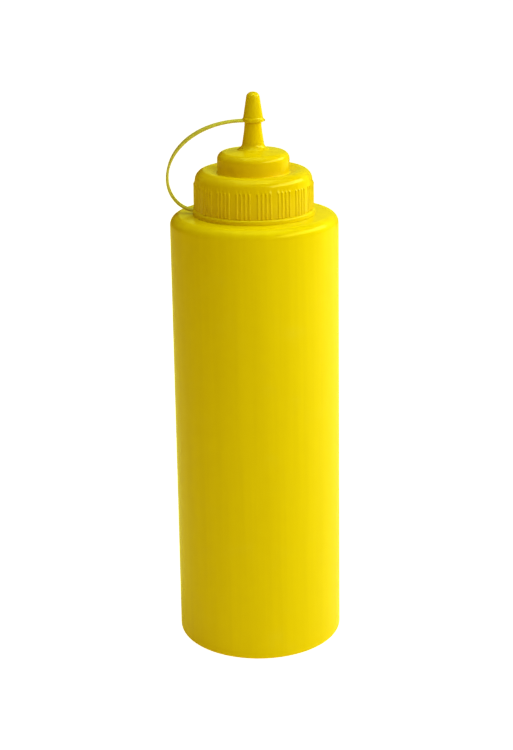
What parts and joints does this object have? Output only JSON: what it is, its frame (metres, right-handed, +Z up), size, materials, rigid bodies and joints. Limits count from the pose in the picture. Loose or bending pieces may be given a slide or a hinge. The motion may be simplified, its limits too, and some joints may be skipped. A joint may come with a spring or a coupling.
{
  "type": "sauce squeeze bottle",
  "caption": "Tall yellow squeeze bottle for sauce, with a stepped screw lid, a nozzle and a small tip cap on a curved strap.",
  "frame": {"origin": "centre of the bottle's base, on the surface it stands on", "axes": "+Z up along the bottle's axis, -Y the front, -X the side where the strap stands out"},
  "size_m": [0.0811, 0.08, 0.2694],
  "materials": {
    "bottle_plastic": "satin, warm yellow polyethylene",
    "lid_plastic": "semi-gloss, warm yellow polyethylene",
    "cap_plastic": "semi-gloss, warm yellow polyethylene, slightly translucent where thin"
  },
  "bodies": {
    "root": {"bottle": "bottle_plastic", "lid": "lid_plastic", "tip_cap": "cap_plastic"}
  },
  "joints": []
}
